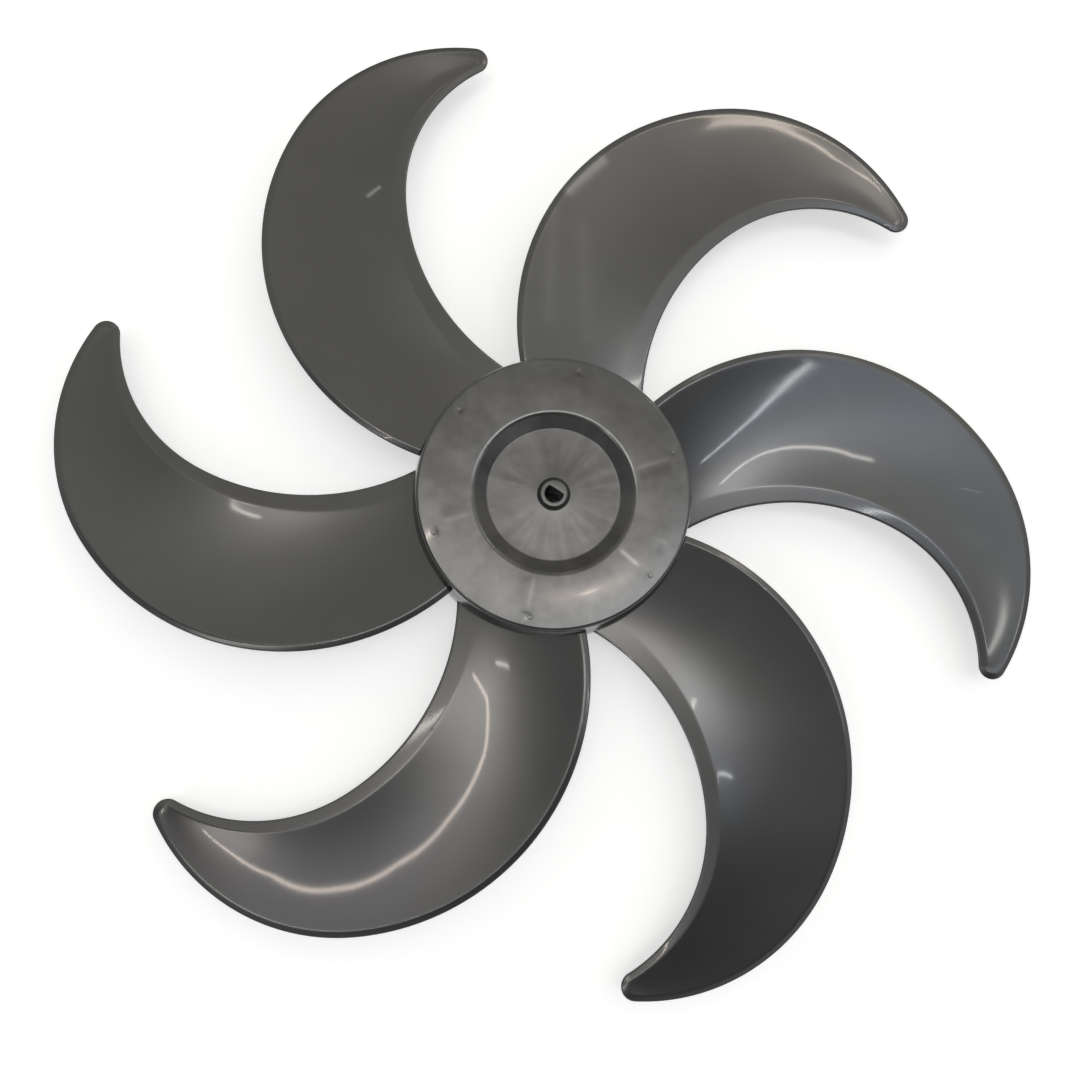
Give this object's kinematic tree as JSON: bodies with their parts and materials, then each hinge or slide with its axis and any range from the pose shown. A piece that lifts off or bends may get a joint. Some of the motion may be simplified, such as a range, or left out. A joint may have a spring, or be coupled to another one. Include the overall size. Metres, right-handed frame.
{
  "type": "axial fan impeller",
  "caption": "Moulded plastic axial fan impeller with forward-swept crescent blades on a shallow drum hub with a D-shaped shaft bore.",
  "frame": {"origin": "on the shaft axis, in the plane of the hub's rear rim, on which the impeller rests", "axes": "+Z along the shaft axis towards the front face and the spinner nut; -X through the root of one blade, whose tip points to +Y"},
  "size_m": [0.3452, 0.34, 0.0302],
  "materials": {
    "impeller_plastic": "dark grey metallic-flecked plastic, semi-gloss, with flow marks"
  },
  "bodies": {
    "root": {"impeller": "impeller_plastic"}
  },
  "joints": []
}
